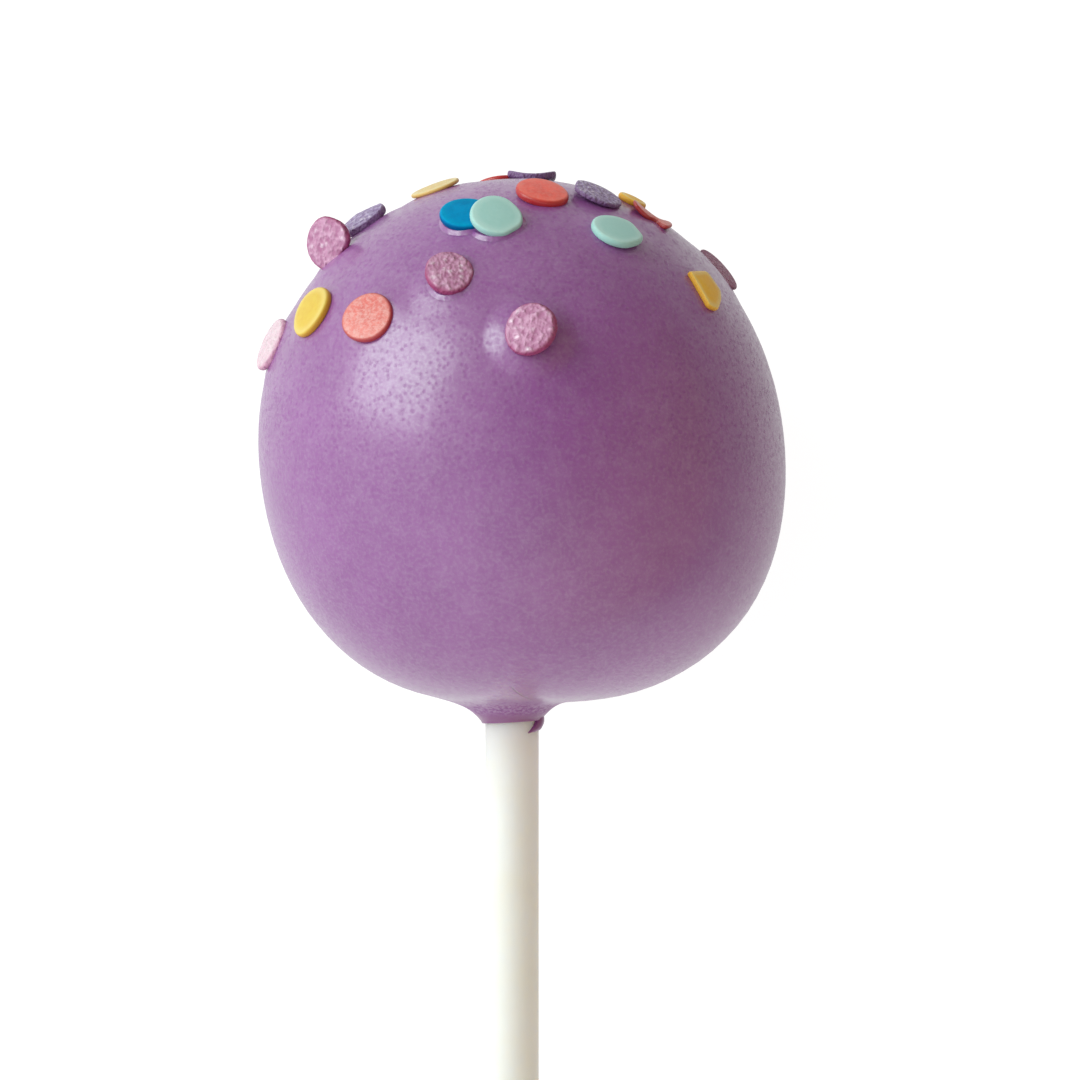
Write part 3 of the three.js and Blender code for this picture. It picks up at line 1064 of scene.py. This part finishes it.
@dataclass
class Coating:
    """The coated ball with its collar and a stray drip on the stick."""

    form: CakeForm
    pose: LyingPose
    discs: list[Disc]
    collar: Collar = Collar()
    fillet: Fillet = Fillet()
    finish: CoatingFinish = CoatingFinish()
    around: int = 440
    front_share: float = 0.3
    crown: float = 68.0
    crown_rings: int = 20
    cap_foot: float = 12.0
    cap_rings: int = 60
    skirt_rings: int = 26
    drip_route: tuple[Triple, ...] = (
        (88.0, -20.2, 0.5),
        (80.0, -20.7, 0.62),
        (70.0, -21.05, 0.5),
        (57.0, -21.32, 0.28),
        (46.0, -21.5, 0.14),
        (37.0, -21.65, 0.05),
    )
    drip_rings: int = 24
    drip_around: int = 20
    drip_flatness: float = 0.7

    def ball_point(self, latitude: np.ndarray, longitude: np.ndarray) -> np.ndarray:
        """Find points of the coating by their latitudes and longitudes."""
        towards = direction(latitude, longitude)
        return self.form.centre + towards * self.form.radii(towards, self.discs)[..., None]

    def rings(self) -> list[np.ndarray]:
        """Work out the rings of the coating's surface, from the crown to the lip.

        Returns:
            The rings.
        """
        collar = self.collar
        turn = np.linspace(0, 360, self.around, endpoint=False)
        longitude = -(turn - math.degrees(self.front_share) * np.sin(np.radians(turn)))
        right = np.sin(np.radians(longitude))
        outward = direction(np.zeros_like(longitude), longitude)
        join = collar.join_latitude + collar.join_lean * right
        foot = self.cap_foot
        crown = np.linspace(90, self.crown, self.crown_rings + 1)[1:, None] + 0 * join
        cap = np.linspace(self.crown, foot, self.cap_rings + 1)[1:, None] + 0 * join
        skirt = foot + (join - foot) * np.linspace(0, 1, self.skirt_rings + 1)[1:, None]
        rings = [self.ball_point(latitudes, longitude) for latitudes in (*crown, *cap, *skirt)]
        start = rings[-1]
        heading = start - rings[-2]
        heading /= np.linalg.norm(heading, axis=1, keepdims=True)
        waver = collar.lip_ripple * ripple(outward, collar.lip_ripple_length, seed=8)
        level = collar.lip_level + collar.lip_lean * right + waver
        up = np.array([0.0, 1.0, 0.0])
        lip = outward * collar.lip_radius + level[:, None] * up
        slope = math.radians(collar.slope)
        upper = start + heading * (collar.upper_pull + collar.upper_lean * right)[:, None]
        lower = lip + (outward * math.cos(slope) + up * math.sin(slope)) * collar.lower_pull
        for share in np.linspace(0, 1, collar.steps + 1)[1:]:
            rest = 1 - share
            rings.append(
                rest**3 * start + 3 * rest**2 * share * upper + 3 * rest * share**2 * lower + share**3 * lip
            )
        roundness = collar.lip_roundness
        for turn in np.radians(np.linspace(0, collar.lip_turn, collar.edge_steps + 1)[1:]):
            inward = roundness * (1 - math.cos(turn))
            rings.append(lip - outward * inward - up * roundness * math.sin(turn))
        return rings

    def crept(self, disc: Disc, number: int) -> Object:
        """Model the fillet round a disc.

        Args:
            disc: The disc.
            number: Its number among all the discs.

        Returns:
            The fillet.
        """
        fillet = self.fillet
        radius = self.form.disc_radius * disc.size
        flat = disc.outline(radius, 0.0, fillet.around)
        edge = disc.placed(flat, radius, self.form.seat(disc))
        outward = np.cross(np.roll(edge, -1, axis=0) - np.roll(edge, 1, axis=0), disc.facing)
        outward /= -np.linalg.norm(outward, axis=1, keepdims=True)
        from_middle = edge - self.form.centre
        distance = np.linalg.norm(from_middle, axis=1)
        gap = distance - self.form.radii(from_middle / distance[:, None], self.discs)
        rise = np.clip(gap, 0, disc.creep[0]) * fade(gap, *fillet.loose)
        foot = disc.creep[1]
        rows = [(fillet.inside[0], 0.0, fillet.inside_depth)]
        rows += [(out, share, fillet.sunk) for out, share in fillet.section(foot)]
        rows += [(foot + past, 0.0, depth) for past, depth in fillet.past_foot]
        rings = []
        for out, share, sunk in rows:
            towards = from_middle + outward * out
            towards /= np.linalg.norm(towards, axis=1, keepdims=True)
            height = self.form.radii(towards, self.discs) + rise * share - sunk
            rings.append(self.form.centre + towards * height[:, None])
        return woven_surface(f"fillet_{number}", rings)

    def drip(self) -> Object:
        """Model the thin drip that ran from the collar across the stick.

        Returns:
            The drip.
        """
        knots = np.array(self.drip_route)
        spread = np.linspace(0, len(knots) - 1, self.drip_rings)
        turns, levels, widths = (np.interp(spread, range(len(knots)), knots[:, i]) for i in range(3))
        outward = direction(np.zeros_like(turns), turns)
        route = outward * self.pose.stick.radius + np.outer(levels, (0, 1, 0))
        heading = np.gradient(route, axis=0)
        heading /= np.linalg.norm(heading, axis=1, keepdims=True)
        sideways = np.cross(heading, outward)
        angles = np.linspace(0, 2 * math.pi, self.drip_around, endpoint=False)
        rings = []
        for i, width in enumerate(widths):
            ring = route[i] + np.outer(np.cos(angles) * width, sideways[i])
            rings.append(ring + np.outer(np.sin(angles) * width * self.drip_flatness, outward[i]))
        return woven_surface("drip", rings)

    def build(self) -> Object:
        """Make the coating and dress it.

        Returns:
            The coating.
        """
        ball = woven_surface("ball", [self.pose.pressed(ring) for ring in self.rings()])
        fillets = [self.crept(disc, number) for number, disc in enumerate(self.discs) if any(disc.creep)]
        piece = joined("coating", [ball, *fillets, self.drip()])
        self.pose.lay(piece, self.finish.make(self.pose))
        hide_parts("coated_ball")
        return piece


@dataclass
class Confetti:
    """The pressed sugar discs, of one dye at a time."""

    form: CakeForm
    pose: LyingPose
    discs: list[Disc]
    crystal: float = 0.36
    knob_curve: float = 1.2
    knob_share: float = 0.5
    swell_scale: float = 0.7
    swell_share: float = 0.25
    crust_end: float = 1.8
    crust_level: float = 0.33
    crust_spread: float = 1.5
    crusted_around: int = 112
    smooth_around: int = 64
    face_rings: int = 26
    edge_rings: int = 14
    back_rings: int = 5

    def profile(self, disc: Disc) -> np.ndarray:
        """Draw half of a disc's section, from the middle of its face to the middle of its back.

        Args:
            disc: The disc.

        Returns:
            Points as distance from the middle, height and sweep.
        """
        finish = disc.dye.value
        radius, half = self.form.disc_radius * disc.size, disc.thickness / 2
        flat = radius - finish.rounding
        out = np.linspace(0.02, 1, self.face_rings)
        face = np.stack([flat * out, half + finish.dome * (1 - out**2), out], axis=1)
        turn = np.linspace(0, 1, self.edge_rings + 1)[1:]
        around = np.radians(90 - 180 * turn)
        rise = half * np.abs(np.sin(around)) ** finish.corner * np.sign(np.sin(around))
        edge = np.stack([flat + finish.rounding * np.cos(around) ** finish.corner, rise, 1 + turn], axis=1)
        inward = np.linspace(0.9, 0.05, self.back_rings)
        back = np.stack([flat * inward, np.full_like(inward, -half), np.full_like(inward, 2.0)], axis=1)
        return np.concatenate([face, edge, back])

    def relief(self, points: np.ndarray, seed: float) -> np.ndarray:
        """Find how far the crystals stand out, as a share of the tallest.

        Args:
            points: Points of a disc.
            seed: A number that makes each disc's crystals its own.

        Returns:
            The height at each point.
        """
        places = [Vector(point) / self.crystal + Vector((seed, 0, seed)) for point in points]
        knobs = np.array([1 - self.knob_curve * noise.voronoi(place)[0][0] ** 2 for place in places])
        swell = np.array([noise.noise(place * self.swell_scale) for place in places])
        return self.knob_share * knobs + self.swell_share * swell

    def disc(self, disc: Disc, number: int) -> Object:
        """Model one disc, bent, broken and crusted as it is.

        Args:
            disc: The disc.
            number: Its number among all the discs.

        Returns:
            The disc, in the pop's own frame.
        """
        finish = disc.dye.value
        crusted = isinstance(finish, CrystalSugarFinish)
        radius = self.form.disc_radius * disc.size
        section = self.profile(disc)
        seat = self.form.seat(disc)
        rings = []
        for out, height, sweep in section:
            ring = disc.outline(out, height, self.crusted_around if crusted else self.smooth_around)
            if crusted and sweep < self.crust_end:
                away = ring / np.array([radius * self.crust_spread, 1.0, radius * self.crust_spread])
                away /= np.linalg.norm(away, axis=1, keepdims=True)
                tallest = finish.relief * (1.0 if sweep <= 1 else finish.edge_relief)
                ring = ring + away * ((self.relief(ring, number) - self.crust_level) * tallest)[:, None]
            rings.append(disc.placed(ring, radius, seat))
        return woven_surface(f"disc_{number}", rings, section[:, 2])

    def build(self, dye: Dye) -> Object:
        """Make all the discs of a dye as one piece, and dress it.

        Args:
            dye: The dye.

        Returns:
            The piece.
        """
        own = [self.disc(disc, number) for number, disc in enumerate(self.discs) if disc.dye is dye]
        piece = joined(f"confetti_{dye.name.lower()}", own)
        self.pose.lay(piece, dye.value.make(self.pose))
        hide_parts("coated_ball")
        return piece


@dataclass
class PaperStick:
    """The rolled paper stick, with the roll's outer edge as a fine seam along it."""

    pose: LyingPose
    finish: PaperFinish = PaperFinish()
    around: int = 96
    seam_bearing: float = 205.0
    seam_drift: float = 0.25
    seam_reach: float = 90.0
    seam_step: float = 8.0
    paper: float = 0.05
    rings_along: int = 120
    rounding_rings: int = 5
    end_rings: int = 13

    def build(self) -> Object:
        """Make the stick and dress it.

        Returns:
            The stick.
        """
        sizes = self.pose.stick
        bearings = -np.linspace(0, 360, self.around, endpoint=False)
        outward = direction(np.zeros_like(bearings), bearings)
        bottom = sizes.end_level
        levels = np.linspace(sizes.top_level - sizes.chamfer, bottom + sizes.chamfer, self.rings_along)
        radii = [sizes.radius] * len(levels)
        turn = np.radians(np.linspace(0, 90, self.rounding_rings + 1))[1:]
        rounded = sizes.radius - sizes.chamfer * (1 - np.cos(turn))
        levels = [*levels, *(bottom + sizes.chamfer * (1 - np.sin(turn)))]
        across_end = np.linspace(sizes.radius - sizes.chamfer, 0.05, self.end_rings + 1)[1:]
        radii = [*radii, *rounded, *across_end]
        levels += [bottom] * self.end_rings
        rings = []
        for level, radius in zip(levels, radii):
            seam = self.seam_bearing + self.seam_drift * level
            past = (seam - bearings) % 360
            step = fade(past, 0, self.seam_reach) * fade(-past, -self.seam_step, 0)
            step *= self.paper * min(radius / sizes.radius, 1)
            reach = np.minimum(radius - self.paper * 0.5 + step * 0.5, sizes.radius)
            rings.append(outward * reach[:, None] + np.array([0.0, level, 0.0]))
        piece = woven_surface("paper_stick", rings)
        self.pose.lay(piece, self.finish.make(self.pose))
        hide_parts("stick")
        return piece


@dataclass(frozen=True)
class Softbox:
    """A soft lamp, placed by where it stands as seen from the ball."""

    name: str
    towards: Triple
    distance: float
    width: float
    height: float
    power: float
    colour: Colour

    def build(self, pose: Matrix) -> None:
        """Stand the lamp and aim it at the ball.

        Args:
            pose: What lays the pop's own frame on the table.
        """
        lamp = bpy.data.lights.new(self.name, "AREA")
        lamp.shape = "RECTANGLE"
        lamp.size, lamp.size_y = self.width, self.height
        lamp.energy, lamp.color = self.power, self.colour
        aim = (pose.to_3x3() @ Vector(self.towards)).normalized()
        turn = aim.to_track_quat("Z", "Y").to_matrix().to_4x4()
        place = Matrix.Translation(pose.translation + aim * self.distance)
        linked(self.name, lamp).matrix_world = place @ turn


@dataclass(frozen=True)
class Glow:
    """A broad glow of the room, brightest where it faces and fading out round its start."""

    towards: Triple
    colour: Colour
    start: float


@dataclass
class Studio:
    """The pale table, the soft light and the camera."""

    pose: LyingPose
    aim: Triple = (2.07, -7.4, 0.0)
    distance: float = 600.0
    shown: float = 80.0
    sensor: float = 36.0
    table_side: float = 6.0
    table_level: float = -0.02
    clipped: Pair = (0.01, 20.0)
    softboxes: tuple[Softbox, ...] = (
        Softbox(
            "window_light", (-0.76, 0.48, 0.46), distance=0.62, width=0.41, height=0.44, power=1.95,
            colour=(0.8, 1.0, 0.91)
        ),
    )
    glows: tuple[Glow, ...] = (
        Glow((-0.77, -0.6, 0.2), (1.04, 1.07, 1.08), start=-0.32),
        Glow((-0.45, 0.88, 0.12), (0.66, 0.64, 0.61), start=0.15),
        Glow((0.92, -0.36, 0.15), (0.54, 0.44, 0.29), start=0.1),
    )

    def build_table(self) -> None:
        """Lay the table top a hair under the pop."""
        half, level = self.table_side / 2, self.table_level * MM
        corners = [(x, y, level) for x, y in ((-half, -half), (half, -half), (half, half), (-half, half))]
        mesh = bpy.data.meshes.new("table_top")
        mesh.from_pydata(corners, [], [(0, 1, 2, 3)])
        mesh.materials.append(TableFinish().make())
        table = linked("table_top", mesh)

    def build_light(self) -> None:
        """Light the room with the glows and the softboxes."""
        world = bpy.data.worlds.new("room")
        world.use_nodes = True
        graph = Graph(world.node_tree)
        view = graph.node("ShaderNodeTexCoord", {}, out="Generated")
        light: Any = (0, 0, 0)
        for glow in self.glows:
            along = graph.vector("DOT_PRODUCT", view, glow.towards, out="Value")
            light = graph.mixed(along.between(glow.start, 1.0), light, glow.colour, "ADD")
        graph.feed(world.node_tree.nodes["Background"].inputs["Color"], light)
        bpy.context.scene.world = world
        for softbox in self.softboxes:
            softbox.build(self.pose.matrix())

    def build_camera(self) -> None:
        """Set the camera square to the stick, as far off as a close-up is taken."""
        lens = bpy.data.cameras.new("camera")
        lens.sensor_width = self.sensor
        lens.lens = self.sensor * self.distance / self.shown
        lens.clip_start, lens.clip_end = self.clipped
        camera = linked("camera", lens)
        stand = Vector(self.aim) * MM + Vector((0, 0, self.distance * MM))
        camera.matrix_world = self.pose.matrix() @ Matrix.Translation(stand)
        bpy.context.scene.camera = camera

    def build(self) -> None:
        """Set up the table, the light and the camera."""
        self.build_table()
        self.build_light()
        self.build_camera()
        bpy.context.scene.view_settings.view_transform = "Standard"


def report(piece: Object) -> None:
    """Log a piece's name and how fine its mesh is."""
    LOG.info("%s: %d faces", piece.name, len(piece.data.polygons))


def main() -> None:
    """Build the pop's pieces and the studio, in order."""
    logging.basicConfig(level=logging.INFO, format="%(name)s %(message)s")
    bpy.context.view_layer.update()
    pose, form = LyingPose(), CakeForm()
    discs = [*SEEN_DISCS, *BackSpread().discs()]
    report(Coating(form, pose, discs).build())
    confetti = Confetti(form, pose, discs)
    for dye in Dye:
        report(confetti.build(dye))
    report(PaperStick(pose).build())
    Studio(pose).build()


if __name__ == "__main__":
    main()
